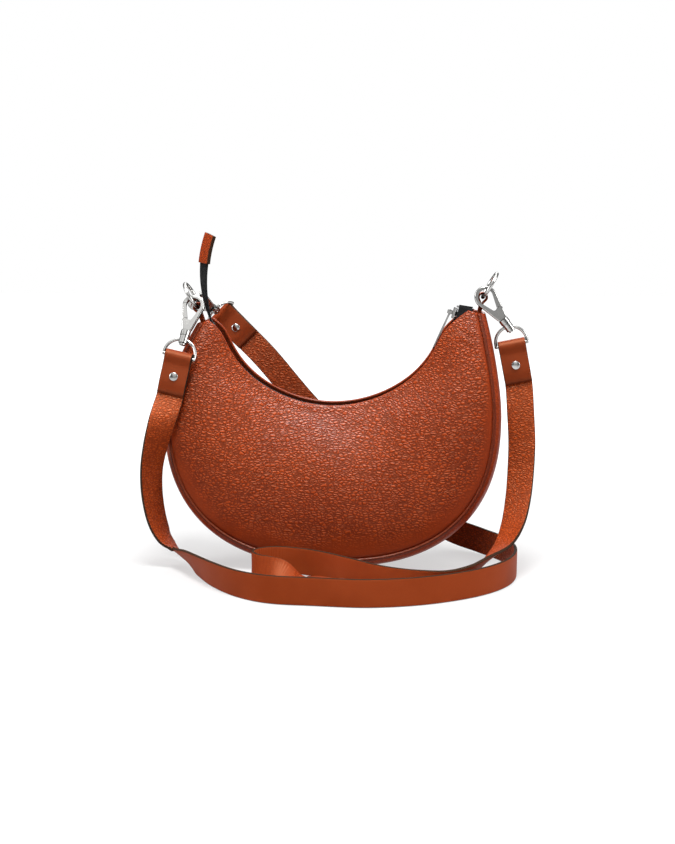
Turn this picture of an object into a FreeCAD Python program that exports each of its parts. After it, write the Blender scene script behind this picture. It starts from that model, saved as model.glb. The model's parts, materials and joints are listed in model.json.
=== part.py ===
import FreeCAD, Part
import math
import os

os.makedirs("parts", exist_ok=True)

Vec = FreeCAD.Vector
origin = Vec(0, 0, 0)
across = Vec(1, 0, 0)
back = Vec(0, 1, 0)
up = Vec(0, 0, 1)

# Bag outline, seen from the front (mm, degrees)
bag_half_width = 140.0
waist_height = 125.5
outline_power = 2.4
horn_height = 212.0
horn_draw_left = 35.0
horn_draw_right = 15.0
horn_power = 1.6
foot_sink = 1.0
horn_width = 37.0
notch_radius = bag_half_width - horn_width
notch_height = 238.0
pinch_angle = 35.0
pinch_span = 25.0
shoulder_pinch = 2.8
shoulder_angle = 63.0
shoulder_span = 15.0
shoulder_flare = 17.0
horn_angle_left = 72.0
horn_angle_right = 78.0

# Bag depth, seen from the side
base_depth = 72.0
tip_depth = 26.0
depth_power = 2.2
mouth_width = 24.0
panel_bulge = 9.0
seam_inset = 7.5
tip_inset = 3.6

# Leather and lining
panel_thickness = 2.0
gusset_thickness = 2.6
lining_thickness = 0.8
seam_gap = 0.3
lining_drop = 10.0

# Zip
zip_drop = 3.0
zip_radius = notch_radius + zip_drop
tape_thickness = 0.8
tape_inner = 1.0
coil_inner = 0.7
coil_width = 2.0
coil_height = 1.7
coil_gap = 0.1
zip_left_angle = 70.0
zip_right_angle = 79.0
slider_angle = 75.0
slider_length = 9.0
slider_half_width = 4.2
slider_plate = 1.7
slider_post = 0.35
slider_post_length = 3.0
slider_gap = 0.3
ear_inner = 1.7
ear_thickness = 0.9
ear_height = 4.4
ear_length = 3.0
pull_pin_radius = 0.7
pull_pin_gap = 0.15
pull_length = 33.0
pull_thickness = 1.4
pull_neck_width = 2.8
pull_width = 4.8
pull_eye_radius = 1.9
stop_length = 1.2
stop_gap = 0.8
tail_width = 12.0
tail_thickness = 1.6
tail_twist = 35.0
tail_twist_power = 0.5
tail_angle = 97.0
cap_length = 24.0
cap_width = 14.0
cap_thickness = 4.0

# Ring tabs and rings
ring_radius = 11.0
ring_wire = 1.5
tab_width = 7.0
tab_leather = 1.6
tab_hole = 2.6
tab_reach_left = 12.0
tab_reach_right = 12.0
tab_depth = 10.0
tab_inset_left = 0.0
tab_inset_right = 0.5
ring_lean_left = 29.0
ring_lean_right = 30.0

# Straps and rivets
strap_width = 22.0
strap_thickness = 2.6
flap_length = 32.0
pinch_length = 8.0
layer_gap = 0.2
rivet_offset = 17.0
rivet_post = 1.5
rivet_head = 3.5
rivet_dome = 1.2
rivet_gap = 0.1
floor_reach = 125.0
fold_steps = 6
span_steps = 3

# Snap hooks
bar_radius = 1.3
bar_gap = 0.3
eye_side_gap = 0.4
eye_side = 2.0
eye_corner = 1.45
eye_top = 3.4
boss_radius = 3.6
boss_top = 0.3
boss_foot = 6.7
post_radius = 2.0
post_gap = 0.2
post_head_radius = 2.5
post_head_top = 7.0
post_head_foot = 8.2
collar_radius = 4.0
collar_height = 4.0
hook_thickness = 4.5
bow_radius = 9.0
bow_wall = 3.0
bow_height = 27.0
base_radius = 4.5
base_height = 7.5
throat_radius = 2.0
throat_height = 15.5
bow_round = 1.1
gate_pivot_across = 4.1
gate_pivot_height = 13.4
gate_reach = 14.0
gate_gap = 0.3
gate_knuckle = 1.9
gate_heel = 1.4
gate_pin = 0.8
gate_pin_gap = 0.05
hook_grip = 28.5

# Strap ends: way of the strap, way of its width, turn of the eye, lean of the hook, side of the gate
strap_ends = {
    "front_left": ((-0.22, -0.12, -0.97), (-1, 0, 0), 20, 0, 1),
    "rear_left": ((0.70, 0.0, -0.71), (-0.71, 0, -0.70), -64, 0, 1),
    "right": ((0.20, -0.03, -0.98), (-1, 0, 0), 0, 27, -1),
    "free": ((-0.91, 0.41, 0), (0, 1, 0), 0, 0, 1),
}
ring_angle_front_left = -130.0
ring_angle_rear_left = 118.0
ring_angle_right = -144.0

# One overrun for all cuts
overrun = 1.0

# Where the sections of the bag lie, as shares of the angle from the middle to a horn tip
section_shares = (-1, -0.93, -0.82, -0.68, -0.5, -0.3, -0.1, 0.1, 0.3, 0.5, 0.68, 0.82, 0.93, 1)
lining_end_share = 0.93

notch_center = Vec(0, 0, notch_height)


# Directions round the notch: the angle counts from straight down, positive to the right
def ray(angle):
    turn = math.radians(angle)
    return Vec(math.sin(turn), 0, -math.cos(turn))


def polar(angle, radius, depth):
    return notch_center + ray(angle) * radius + back * depth


def unit(vector):
    return vector * (1 / vector.Length)


def turned(vector, axis, angle):
    return FreeCAD.Rotation(axis, angle).multVec(vector)


# Half width of the bag's outline at a height, from a superellipse below the waist and a power curve above it
def outline_half_width(height, side):
    if height < waist_height:
        drop_share = (waist_height - height) / (waist_height + foot_sink)
        if drop_share >= 1:
            return 0
        return bag_half_width * (1 - drop_share ** outline_power) ** (1 / outline_power)
    draw = horn_draw_left if side < 0 else horn_draw_right
    rise_share = (height - waist_height) / (horn_height - waist_height)
    return bag_half_width - draw * rise_share ** horn_power


def outer_radius(angle):
    low = notch_radius
    high = notch_height + bag_half_width
    for step in range(50):
        middle = (low + high) / 2
        point = polar(angle, middle, 0)
        inside = abs(point.x) < outline_half_width(point.z, angle)
        low, high = (middle, high) if inside else (low, middle)
    return low


def horn_angle(share):
    return share * (horn_angle_left if share < 0 else horn_angle_right)


def inner_radius(angle):
    pinch_share = min(1, max(0, abs(angle) - pinch_angle) / pinch_span)
    past_share = max(0, abs(angle) - shoulder_angle) / shoulder_span
    return notch_radius - shoulder_pinch * pinch_share ** 2 + shoulder_flare * past_share ** 2


def half_depth(share):
    return (tip_depth + (base_depth - tip_depth) * (1 - abs(share) ** depth_power)) / 2


def inset(share):
    return tip_inset + (seam_inset - tip_inset) * (1 - abs(share) ** depth_power)


def loop_wire(outer_points, inner_points):
    outer = Part.Arc(*outer_points).toShape()
    inner = Part.Arc(*reversed(inner_points)).toShape()
    end = Part.makeLine(outer_points[2], inner_points[2])
    start = Part.makeLine(inner_points[0], outer_points[0])
    return Part.Wire([outer, end, inner, start])


# A panel's section: an arc from the seam to the mouth that swells outwards, drawn at two depths
def panel_wire(share, side, sink, thickness, drop):
    angle = horn_angle(share)
    seam = outer_radius(angle) - inset(share) - sink
    top = min(inner_radius(angle) + drop, seam - panel_thickness)
    full = notch_height - notch_radius
    swell = panel_bulge * (seam - top) / full
    arcs = []
    for depth in (sink, sink + thickness):
        seam_depth = half_depth(share) - depth
        top_depth = mouth_width / 2 - depth
        middle_depth = (seam_depth + top_depth) / 2 + swell
        arcs.append([
            polar(angle, seam, side * seam_depth),
            polar(angle, (seam + top) / 2, side * middle_depth),
            polar(angle, top, side * top_depth),
        ])
    return loop_wire(*arcs)


def panel(side, sink, thickness, drop):
    return Part.makeLoft([panel_wire(share, side, sink, thickness, drop) for share in section_shares], True)


# The gusset's section: an arc from the front seam over the crown to the back seam
def gusset_wire(share, sink, thickness):
    angle = horn_angle(share)
    crown = outer_radius(angle) - sink
    edge = crown - inset(share) + seam_gap + gusset_thickness
    depth = half_depth(share) - sink
    arcs = []
    for down in (0, thickness):
        arcs.append([
            polar(angle, edge - down, -depth),
            polar(angle, crown - down, 0),
            polar(angle, edge - down, depth),
        ])
    return loop_wire(*arcs)


def gusset(sink, thickness):
    return Part.makeLoft([gusset_wire(share, sink, thickness) for share in section_shares], True)


# The way onwards past a horn tip
def onward(angle):
    side = -1 if angle < 0 else 1
    return Vec(side * math.cos(math.radians(angle)), 0, side * math.sin(math.radians(angle)))


# All that lies past an angle, to end the linings short of the horn tips
def tip_block(angle):
    way = onward(angle)
    block = Part.makeBox(
        bag_half_width, base_depth * 2, notch_height * 2, Vec(0, -base_depth, -notch_height))
    block.Placement = FreeCAD.Placement(notch_center, FreeCAD.Rotation(way, back, way.cross(back), "XYZ"))
    return block


def short_of_tips(solid):
    return solid.cut(tip_block(horn_angle(-lining_end_share))).cut(tip_block(horn_angle(lining_end_share)))


floor_block = Part.makeBox(
    bag_half_width * 2, base_depth * 2, base_depth, Vec(-bag_half_width, -base_depth, -base_depth))
lining_sink = panel_thickness + seam_gap
gusset_sink = gusset_thickness + seam_gap
nodes = {
    "front_panel": panel(-1, 0, panel_thickness, 0),
    "back_panel": panel(1, 0, panel_thickness, 0),
    "gusset": gusset(0, gusset_thickness).cut(floor_block),
    "lining_front": short_of_tips(panel(-1, lining_sink, lining_thickness, lining_drop)),
    "lining_back": short_of_tips(panel(1, lining_sink, lining_thickness, lining_drop)),
    "lining_gusset": short_of_tips(gusset(gusset_sink, lining_thickness)),
}


# Zip: bands turned about the notch's centre, between two radii, two depths and two angles
def band(radius_a, radius_b, depth_a, depth_b, angle_a, angle_b):
    corners = [(radius_a, depth_a), (radius_b, depth_a), (radius_b, depth_b), (radius_a, depth_b)]
    points = [polar(angle_a, radius, depth) for radius, depth in corners]
    face = Part.Face(Part.makePolygon(points + points[:1]))
    return face.revolve(notch_center, back * -1, angle_b - angle_a)


def arc_angle(length):
    return math.degrees(length / zip_radius)


tape_outer = mouth_width / 2 - panel_thickness - seam_gap
coil_top = zip_radius - coil_gap - coil_height
for name, side in (("front", -1), ("back", 1)):
    nodes["zip_tape_" + name] = band(
        zip_radius, zip_radius + tape_thickness, side * tape_inner, side * tape_outer,
        -zip_left_angle, zip_right_angle)
    nodes["zip_coil_" + name] = band(
        coil_top, zip_radius - coil_gap, side * coil_inner, side * (coil_inner + coil_width),
        -zip_left_angle, slider_angle + arc_angle(slider_length / 2))

stop_start = slider_angle + arc_angle(slider_length / 2 + stop_gap)
stops = []
for side in (-1, 1):
    stops.append(band(
        coil_top, zip_radius, side * coil_inner, side * (coil_inner + coil_width),
        stop_start, stop_start + arc_angle(stop_length)))
nodes["zip_end_stops"] = Part.makeCompound(stops)

plate_under = coil_top - slider_gap
plate_top = plate_under - slider_plate
keel_top = zip_radius + tape_thickness + slider_gap
half_slider = arc_angle(slider_length / 2)
half_post = arc_angle(slider_post_length / 2)
half_ear = arc_angle(ear_length / 2)
pin_radius_place = plate_top - ear_height / 2
slider_parts = [
    band(plate_top, plate_under, -slider_half_width, slider_half_width,
         slider_angle - half_slider, slider_angle + half_slider),
    band(keel_top, keel_top + slider_plate, -slider_half_width, slider_half_width,
         slider_angle - half_slider, slider_angle + half_slider),
    band(plate_under, keel_top, -slider_post, slider_post, slider_angle - half_post, slider_angle + half_post),
]
for side in (-1, 1):
    slider_parts.append(band(
        plate_top - ear_height, plate_top, side * ear_inner, side * (ear_inner + ear_thickness),
        slider_angle - half_ear, slider_angle + half_ear))
pull_pivot = polar(slider_angle, pin_radius_place, 0)
slider_parts.append(Part.makeCylinder(pull_pin_radius, ear_inner * 2, pull_pivot - back * ear_inner, back))
nodes["zip_slider"] = slider_parts[0].multiFuse(slider_parts[1:]).removeSplitter()

# The pull lies as a chord inside the zip's arc
pull_end = polar(slider_angle - arc_angle(pull_length), pin_radius_place, 0)
pull_along = unit(pull_end - pull_pivot)
pull_frame = FreeCAD.Placement(pull_pivot, FreeCAD.Rotation(pull_along, back, pull_along.cross(back), "XYZ"))
pull_neck = Part.makeBox(
    pull_length / 3, pull_neck_width, pull_thickness, Vec(0, -pull_neck_width / 2, -pull_thickness / 2))
pull_plate = Part.makeBox(
    pull_length * 2 / 3, pull_width, pull_thickness, Vec(pull_length / 3, -pull_width / 2, -pull_thickness / 2))
pull_eye = Part.makeCylinder(pull_eye_radius, pull_neck_width, Vec(0, -pull_neck_width / 2, 0), back)
pull_hole = Part.makeCylinder(
    pull_pin_radius + pull_pin_gap, pull_neck_width + overrun, Vec(0, -(pull_neck_width + overrun) / 2, 0), back)
pull = pull_neck.multiFuse([pull_plate, pull_eye]).removeSplitter().cut(pull_hole)
pull_corners = [edge for edge in pull.Edges if edge.BoundBox.XMin > pull_length - overrun
                and edge.BoundBox.ZLength > pull_thickness / 2]
pull = pull.makeFillet(pull_width / 3, pull_corners)
pull.Placement = pull_frame
nodes["zip_pull"] = pull


# The tail carries on along the zip's circle and turns about its own length as it rises
def tail_wire(angle, width, thickness):
    turn_share = (-angle - zip_left_angle) / (tail_angle - zip_left_angle)
    turn = math.radians(tail_twist * min(1, turn_share) ** tail_twist_power)
    wide = back * math.cos(turn) + ray(angle) * math.sin(turn)
    thick = ray(angle) * math.cos(turn) - back * math.sin(turn)
    center = polar(angle, zip_radius, 0)
    corners = [(-1, -1), (1, -1), (1, 1), (-1, 1)]
    points = [center + wide * (a * width / 2) + thick * (b * thickness / 2) for a, b in corners]
    return Part.makePolygon(points + points[:1])


tail_start = zip_left_angle + arc_angle(seam_gap)
tail_shares = (0, 0.25, 0.5, 0.75, 1)
tail_angles = [-(tail_start + (tail_angle - tail_start) * share) for share in tail_shares]
nodes["zip_tail"] = Part.makeLoft([tail_wire(angle, tail_width, tail_thickness) for angle in tail_angles], True)
cap_angles = [-(tail_angle + arc_angle(cap_length) * share) for share in tail_shares]
nodes["zip_tail_cap"] = Part.makeLoft([tail_wire(angle, cap_width, cap_thickness) for angle in cap_angles], True)


# Ring tabs: a leather tongue from each horn tip, folded round the ring's wire
def ring_tab(angle, reach, tab_inset):
    along = onward(angle)
    radius = outer_radius(angle) - gusset_thickness - seam_gap - tab_leather - tab_inset
    tip = polar(angle, radius, 0)
    hole = tip + along * reach
    frame = FreeCAD.Rotation(along, back, along.cross(back), "XYZ")
    tongue = Part.makeBox(
        reach + tab_depth, tab_width, tab_leather * 2, Vec(-reach - tab_depth, -tab_width / 2, -tab_leather))
    knuckle = Part.makeCylinder(tab_hole + tab_leather, tab_width, Vec(0, -tab_width / 2, 0), back)
    bore = Part.makeCylinder(tab_hole, tab_width + overrun, Vec(0, -(tab_width + overrun) / 2, 0), back)
    tab = tongue.fuse(knuckle).removeSplitter().cut(bore)
    tab.Placement = FreeCAD.Placement(hole, frame)
    return tab, hole


# A ring stands in the plane of its own lean and the bag's depth
def round_ring(hole, lean):
    rise = turned(up, back, lean)
    center = hole + rise * ring_radius
    ring = Part.makeTorus(ring_radius, ring_wire, center, rise.cross(back))
    return ring, center, rise


def ring_point(center, rise, angle):
    turn = math.radians(angle)
    return center + rise * (ring_radius * math.cos(turn)) + back * (ring_radius * math.sin(turn))


nodes["ring_tab_left"], hole_left = ring_tab(-horn_angle_left, tab_reach_left, tab_inset_left)
nodes["ring_tab_right"], hole_right = ring_tab(horn_angle_right, tab_reach_right, tab_inset_right)
nodes["ring_left"], center_left, rise_left = round_ring(hole_left, -ring_lean_left)
nodes["ring_right"], center_right, rise_right = round_ring(hole_right, ring_lean_right)


# Snap hook pieces in the hook's own frame: X along the strap's width, Z towards the ring, the collar's foot at zero
def pear(low, low_radius, high, high_radius, thickness):
    slope = math.asin((high_radius - low_radius) / (high - low))
    normal = Vec(math.cos(slope), 0, -math.sin(slope))
    mirrored = Vec(-normal.x, 0, normal.z)
    low_center = up * low
    high_center = up * high
    low_arc = Part.Arc(low_center + mirrored * low_radius, up * (low - low_radius), low_center + normal * low_radius)
    high_arc = Part.Arc(
        high_center + normal * high_radius, up * (high + high_radius), high_center + mirrored * high_radius)
    right = Part.makeLine(low_center + normal * low_radius, high_center + normal * high_radius)
    left = Part.makeLine(high_center + mirrored * high_radius, low_center + mirrored * low_radius)
    outline = Part.Wire([low_arc.toShape(), right, high_arc.toShape(), left])
    solid = Part.Face(outline).extrude(back * thickness)
    solid.translate(back * (-thickness / 2))
    return solid


def disc(radius, thickness, across_place, height):
    return Part.makeCylinder(radius, thickness, Vec(across_place, -thickness / 2, height), back)


def slab(across_a, across_b, height_a, height_b):
    deep = hook_thickness + overrun
    return Part.makeBox(across_b - across_a, deep, height_b - height_a, Vec(across_a, -deep / 2, height_a))


def hook_pieces():
    bow = pear(base_height, base_radius, bow_height, bow_radius, hook_thickness)
    rims = [edge for edge in bow.Edges if edge.BoundBox.YLength < bow_round]
    bow = bow.makeFillet(bow_round, rims)
    window = pear(throat_height, throat_radius, bow_height, bow_radius - bow_wall, hook_thickness + overrun)
    frame = bow.cut(window)
    top = gate_pivot_height + gate_reach + overrun
    side = bow_radius + overrun
    pivot = (gate_pivot_across, gate_pivot_height)
    arm_zone = slab(gate_pivot_across, side, gate_pivot_height, top).fuse(
        slab(0, gate_pivot_across, gate_pivot_height + gate_heel, top))
    room_zone = slab(gate_pivot_across, side, gate_pivot_height - gate_gap, top).fuse(
        slab(0, gate_pivot_across, gate_pivot_height + gate_heel - gate_gap * 2, top))
    deep = hook_thickness + overrun
    arm = frame.common(arm_zone).common(disc(gate_reach, deep, *pivot))
    room = room_zone.common(disc(gate_reach + gate_gap, deep, *pivot))
    pin_hole = disc(gate_pin + gate_pin_gap, deep, *pivot)
    gate_depth = hook_thickness - gate_gap * 2
    gate = arm.common(slab(0, side, 0, top)).fuse(disc(gate_knuckle, gate_depth, *pivot)).removeSplitter()
    gate = gate.cut(pin_hole)
    body = frame.cut(room).cut(disc(gate_knuckle + gate_gap, gate_depth + gate_gap, *pivot))
    body = body.cut(disc(gate_pin, deep, *pivot))
    collar = Part.makeCylinder(collar_radius, collar_height)
    post = Part.makeCylinder(post_radius, post_head_top, up * -post_head_top)
    head = Part.makeCylinder(post_head_radius, post_head_foot - post_head_top, up * -post_head_foot)
    body = body.multiFuse([collar, post, head]).removeSplitter()
    pin = disc(gate_pin, hook_thickness, *pivot)
    return body, gate, pin


# The swivel eye in the strap's frame, its arch's top at zero: a half ring on short sides, a bar and a leaning boss
eye_half = strap_width / 2 + eye_side_gap + bar_radius
eye_drop = eye_half + eye_side


def swivel_eye(lean):
    left = Vec(-eye_half, 0, -eye_half)
    right = Vec(eye_half, 0, -eye_half)
    left_foot = left - up * eye_side
    right_foot = right - up * eye_side
    arch = Part.Arc(left, origin, right).toShape()
    path = Part.Wire([Part.makeLine(left_foot, left), arch, Part.makeLine(right, right_foot)])
    bow = path.makePipeShell([Part.Wire(Part.makeCircle(bar_radius, left_foot, up))], True, False)
    axis = turned(up, back, lean)
    boss_length = boss_foot - boss_top
    parts = [
        Part.makeCylinder(bar_radius, eye_half * 2, left_foot, across),
        Part.makeSphere(eye_corner, left_foot),
        Part.makeSphere(eye_corner, right_foot),
        Part.makeCylinder(boss_radius, boss_length, axis * (eye_top - boss_foot), axis),
    ]
    bore = Part.makeCylinder(
        post_radius + post_gap, boss_length + overrun * 2, axis * (eye_top - boss_foot - overrun), axis)
    return bow.multiFuse(parts).cut(bore)


# Strap ends: the strap's way from its bar, its width's way, the eye's turn on the bar, the hook's lean in the eye
class StrapEnd:
    def __init__(self, name):
        way, width_hint, eye_turn, self.lean, self.gate_side = strap_ends[name]
        self.name = name
        self.way = unit(Vec(*way))
        hint = Vec(*width_hint)
        self.wide = unit(hint - self.way * hint.dot(self.way))
        self.face = self.wide.cross(self.way)
        self.eye_rise = turned(self.way * -1, self.wide, eye_turn)
        self.eye_deep = self.eye_rise.cross(self.wide)
        self.hook = turned(self.eye_rise, self.eye_deep, self.lean)
        self.bar = origin

    def hang_on(self, wire):
        self.bar = wire - self.hook * (hook_grip + eye_top) - self.eye_rise * eye_drop

    def eye_frame(self):
        top = self.bar + self.eye_rise * eye_drop
        return FreeCAD.Placement(top, FreeCAD.Rotation(self.wide, self.eye_deep, self.eye_rise, "XYZ"))

    def hook_frame(self):
        foot = self.eye_frame().Base + self.hook * eye_top
        deep = self.eye_deep * self.gate_side
        return FreeCAD.Placement(foot, FreeCAD.Rotation(deep.cross(self.hook), deep, self.hook, "XYZ"))

    # The flap, the fold round the bar and the main layer, from the flap's end onwards
    def frames(self):
        fold = bar_radius + bar_gap + strap_thickness / 2
        pinch = (strap_thickness + layer_gap) / 2
        places = [
            self.bar + self.way * flap_length + self.face * pinch,
            self.bar + self.way * pinch_length + self.face * pinch,
        ]
        for step in range(fold_steps + 1):
            turn = math.pi * step / fold_steps
            places.append(self.bar + self.face * (fold * math.cos(turn)) - self.way * (fold * math.sin(turn)))
        places.append(self.bar + self.way * pinch_length - self.face * pinch)
        places.append(self.bar + self.way * flap_length - self.face * pinch)
        return [(place, self.wide) for place in places]

    def rivet(self):
        stack = strap_thickness * 2 + layer_gap + rivet_gap * 2
        foot = self.bar + self.way * rivet_offset - self.face * (stack / 2)
        post = Part.makeCylinder(rivet_post, stack, foot, self.face)
        heads = [
            Part.makeCylinder(rivet_head, rivet_dome, foot + self.face * stack, self.face),
            Part.makeCylinder(rivet_head, rivet_dome, foot, self.face * -1),
        ]
        return post.multiFuse(heads).removeSplitter()

    def rivet_hole(self):
        stack = strap_thickness * 2 + layer_gap + overrun
        foot = self.bar + self.way * rivet_offset - self.face * (stack / 2)
        return Part.makeCylinder(rivet_post + rivet_gap, stack, foot, self.face)


ends = {name: StrapEnd(name) for name in strap_ends}
ends["front_left"].hang_on(ring_point(center_left, rise_left, ring_angle_front_left))
ends["rear_left"].hang_on(ring_point(center_left, rise_left, ring_angle_rear_left))
ends["right"].hang_on(ring_point(center_right, rise_right, ring_angle_right))

# Strap routes between two ends: places as shares of the bag's half width, the reach on the floor and the horns'
# height, each with the way of one edge
free_end_shares = (0.072, -0.688)
long_route_shares = [
    ((-0.420, 0.400, 0.775), (-0.71, 0, -0.71)),
    ((-0.205, 0.400, 0.606), (-0.71, 0, -0.71)),
    ((0.036, 0.408, 0.435), (-0.69, 0, -0.72)),
    ((0.286, 0.416, 0.285), (-0.62, 0, -0.78)),
    ((0.514, 0.408, 0.164), (-0.45, 0, -0.89)),
    ((0.714, 0.352, 0.085), (-0.25, 0, -0.97)),
    ((0.900, 0.224, 0.058), (-0.08, 0, -1)),
    ((1.029, 0.040, 0.054), (0, 0, -1)),
    ((1.086, -0.190, 0.054), (0, 0, -1)),
    ((1.060, -0.410, 0.054), (0, 0, -1)),
    ((0.964, -0.600, 0.054), (0, 0, -1)),
    ((0.793, -0.768, 0.054), (0, 0, -1)),
    ((0.536, -0.912, 0.054), (0, 0, -1)),
    ((0.250, -0.982, 0.054), (0, 0, -1)),
    ((-0.036, -0.968, 0.054), (0, 0, -1)),
    ((-0.286, -0.940, 0.054), (0, 0, -1)),
    ((-0.471, -0.836, 0.053), (0, 0.1, -0.99)),
    ((-0.629, -0.672, 0.0545), (0, 0.25, -0.97)),
    ((-0.757, -0.472, 0.0525), (-0.05, 0.6, -0.8)),
    ((-0.846, -0.300, 0.048), (-0.12, 0.88, -0.46)),
    ((-0.905, -0.200, 0.052), (-0.19, 0.95, -0.22)),
    ((-0.954, -0.184, 0.083), (0.05, 0.97, -0.1)),
    ((-1.000, -0.196, 0.128), (0.34, 0.92, -0.1)),
    ((-1.036, -0.212, 0.202), (0.48, 0.86, 0)),
    ((-1.052, -0.236, 0.300), (0.56, 0.81, 0)),
    ((-1.043, -0.272, 0.400), (0.64, 0.75, 0)),
    ((-1.008, -0.312, 0.499), (0.78, 0.58, 0)),
    ((-0.965, -0.316, 0.596), (0.92, 0.35, 0.05)),
]
short_route_shares = [
    ((1.107, -0.084, 0.618), (-1, 0, -0.1)),
    ((1.118, -0.092, 0.502), (-0.98, 0.2, 0)),
    ((1.114, -0.112, 0.386), (-0.93, 0.36, 0)),
    ((1.100, -0.160, 0.290), (-0.87, 0.5, 0)),
    ((1.068, -0.248, 0.203), (-0.75, 0.65, -0.1)),
    ((1.011, -0.360, 0.140), (-0.5, 0.85, -0.2)),
    ((0.914, -0.492, 0.101), (-0.15, 0.9, -0.4)),
    ((0.807, -0.656, 0.074), (0, 0.7, -0.7)),
    ((0.679, -0.770, 0.060), (0, 0.3, -0.95)),
    ((0.514, -0.776, 0.055), (0, 0, -1)),
    ((0.321, -0.696, 0.054), (0, 0, -1)),
    ((0.143, -0.548, 0.054), (0, 0, -1)),
    ((-0.036, -0.404, 0.054), (0, 0, -1)),
    ((-0.200, -0.360, 0.060), (0, 0, -1)),
    ((-0.321, -0.384, 0.066), (0, -0.05, -1)),
    ((-0.400, -0.432, 0.066), (0, -0.1, -0.99)),
    ((-0.425, -0.480, 0.063), (0, -0.1, -0.99)),
    ((-0.396, -0.528, 0.059), (0, -0.1, -0.99)),
    ((-0.329, -0.552, 0.055), (0, -0.2, -0.98)),
    ((-0.264, -0.564, 0.047), (-0.2, -0.6, -0.77)),
    ((-0.200, -0.576, 0.027), (-0.35, -0.85, -0.35)),
]

free_bar_height = bar_radius + bar_gap + strap_thickness + layer_gap
ends["free"].bar = Vec(
    free_end_shares[0] * bag_half_width, free_end_shares[1] * floor_reach, free_bar_height)


def route_frames(shares):
    frames = []
    for (across_share, depth_share, height_share), edge in shares:
        place = Vec(across_share * bag_half_width, depth_share * floor_reach, height_share * horn_height)
        frames.append((place, unit(Vec(*edge))))
    return frames


# A smooth curve through places: cubic spans whose slopes come from the neighbours
def between(values, share):
    before, start, end, after = values
    start_slope = (end - before) * 0.5
    end_slope = (after - start) * 0.5
    square = share * share
    cube = square * share
    return (start * (2 * cube - 3 * square + 1) + start_slope * (cube - 2 * square + share)
            + end * (3 * square - 2 * cube) + end_slope * (cube - square))


def smooth_frames(first, route, last):
    stations = [first[-2], first[-1]] + route + [last[0], last[1]]
    frames = []
    for index in range(1, len(stations) - 2):
        window = stations[index - 1:index + 3]
        for step in range(span_steps):
            share = step / span_steps
            place = between([station[0] for station in window], share)
            wide = between([station[1] for station in window], share)
            frames.append((place, wide))
    return first[:-1] + frames + last


def strap_section(frames, index):
    place, wide = frames[index]
    ahead = frames[min(index + 1, len(frames) - 1)][0]
    behind = frames[max(index - 1, 0)][0]
    way = unit(ahead - behind)
    wide = unit(wide - way * wide.dot(way))
    thick = wide.cross(way)
    corners = [(-1, -1), (1, -1), (1, 1), (-1, 1)]
    points = [place + wide * (a * strap_width / 2) + thick * (b * strap_thickness / 2) for a, b in corners]
    return Part.makePolygon(points + points[:1])


def strap(start, route_shares, finish):
    last = [(place, wide * -1) for place, wide in reversed(finish.frames())]
    frames = smooth_frames(start.frames(), route_frames(route_shares), last)
    length = sum((frames[i + 1][0] - frames[i][0]).Length for i in range(len(frames) - 1))
    print("strap length", round(length), "mm with its folded ends")
    solid = Part.makeLoft([strap_section(frames, index) for index in range(len(frames))], True, True)
    return solid.cut(start.rivet_hole()).cut(finish.rivet_hole())


nodes["long_strap"] = strap(ends["rear_left"], long_route_shares, ends["front_left"])
nodes["short_strap"] = strap(ends["right"], short_route_shares, ends["free"])
nodes["long_strap_rivets"] = Part.makeCompound([ends["rear_left"].rivet(), ends["front_left"].rivet()])
nodes["short_strap_rivets"] = Part.makeCompound([ends["right"].rivet(), ends["free"].rivet()])

hook_body, hook_gate, gate_pin_solid = hook_pieces()
for end in ends.values():
    eye = swivel_eye(end.lean)
    eye.Placement = end.eye_frame()
    nodes["swivel_eye_" + end.name] = eye
    for name, solid in (("hook_body", hook_body), ("hook_gate", hook_gate), ("gate_pin", gate_pin_solid)):
        placed = solid.copy()
        placed.Placement = end.hook_frame()
        nodes[name + "_" + end.name] = placed

for name, shape in nodes.items():
    shape.exportStep("parts/" + name + ".step")
    print(name, shape.ShapeType, len(shape.Solids), shape.isValid(), round(shape.Volume))

# Places and directions that the joints and mounts use
print("notch", notch_center, "pull", pull_pivot)
print("holes", hole_left, hole_right, "centers", center_left, center_right)
for end in ends.values():
    pivot = end.hook_frame().multVec(Vec(gate_pivot_across, 0, gate_pivot_height))
    swing = end.hook_frame().Rotation.multVec(back)
    print(end.name, "bar", end.bar, "wide", end.wide, "hook", end.hook, "gate", pivot, "swing", swing)
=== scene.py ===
import json
import math
import bpy
import numpy as np
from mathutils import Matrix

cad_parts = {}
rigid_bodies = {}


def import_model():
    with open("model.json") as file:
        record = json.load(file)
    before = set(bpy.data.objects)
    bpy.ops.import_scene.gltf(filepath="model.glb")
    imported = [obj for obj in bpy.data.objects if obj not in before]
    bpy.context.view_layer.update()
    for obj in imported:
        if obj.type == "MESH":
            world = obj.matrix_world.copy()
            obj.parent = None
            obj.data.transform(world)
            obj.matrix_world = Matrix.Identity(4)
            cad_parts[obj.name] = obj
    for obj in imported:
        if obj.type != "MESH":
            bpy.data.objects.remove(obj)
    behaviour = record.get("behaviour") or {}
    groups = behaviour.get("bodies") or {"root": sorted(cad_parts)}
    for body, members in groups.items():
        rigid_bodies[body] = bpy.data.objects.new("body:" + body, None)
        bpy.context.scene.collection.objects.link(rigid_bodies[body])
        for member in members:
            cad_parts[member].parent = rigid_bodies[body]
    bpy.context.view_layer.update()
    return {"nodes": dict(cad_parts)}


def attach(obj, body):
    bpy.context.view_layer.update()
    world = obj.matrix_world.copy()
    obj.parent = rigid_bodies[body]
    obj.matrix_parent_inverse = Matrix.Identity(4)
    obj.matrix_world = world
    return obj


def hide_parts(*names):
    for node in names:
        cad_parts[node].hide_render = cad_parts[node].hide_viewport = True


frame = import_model()
nodes = frame["nodes"]
backWay = np.array([0.0, 1.0, 0.0])
print("frame loaded")


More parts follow.
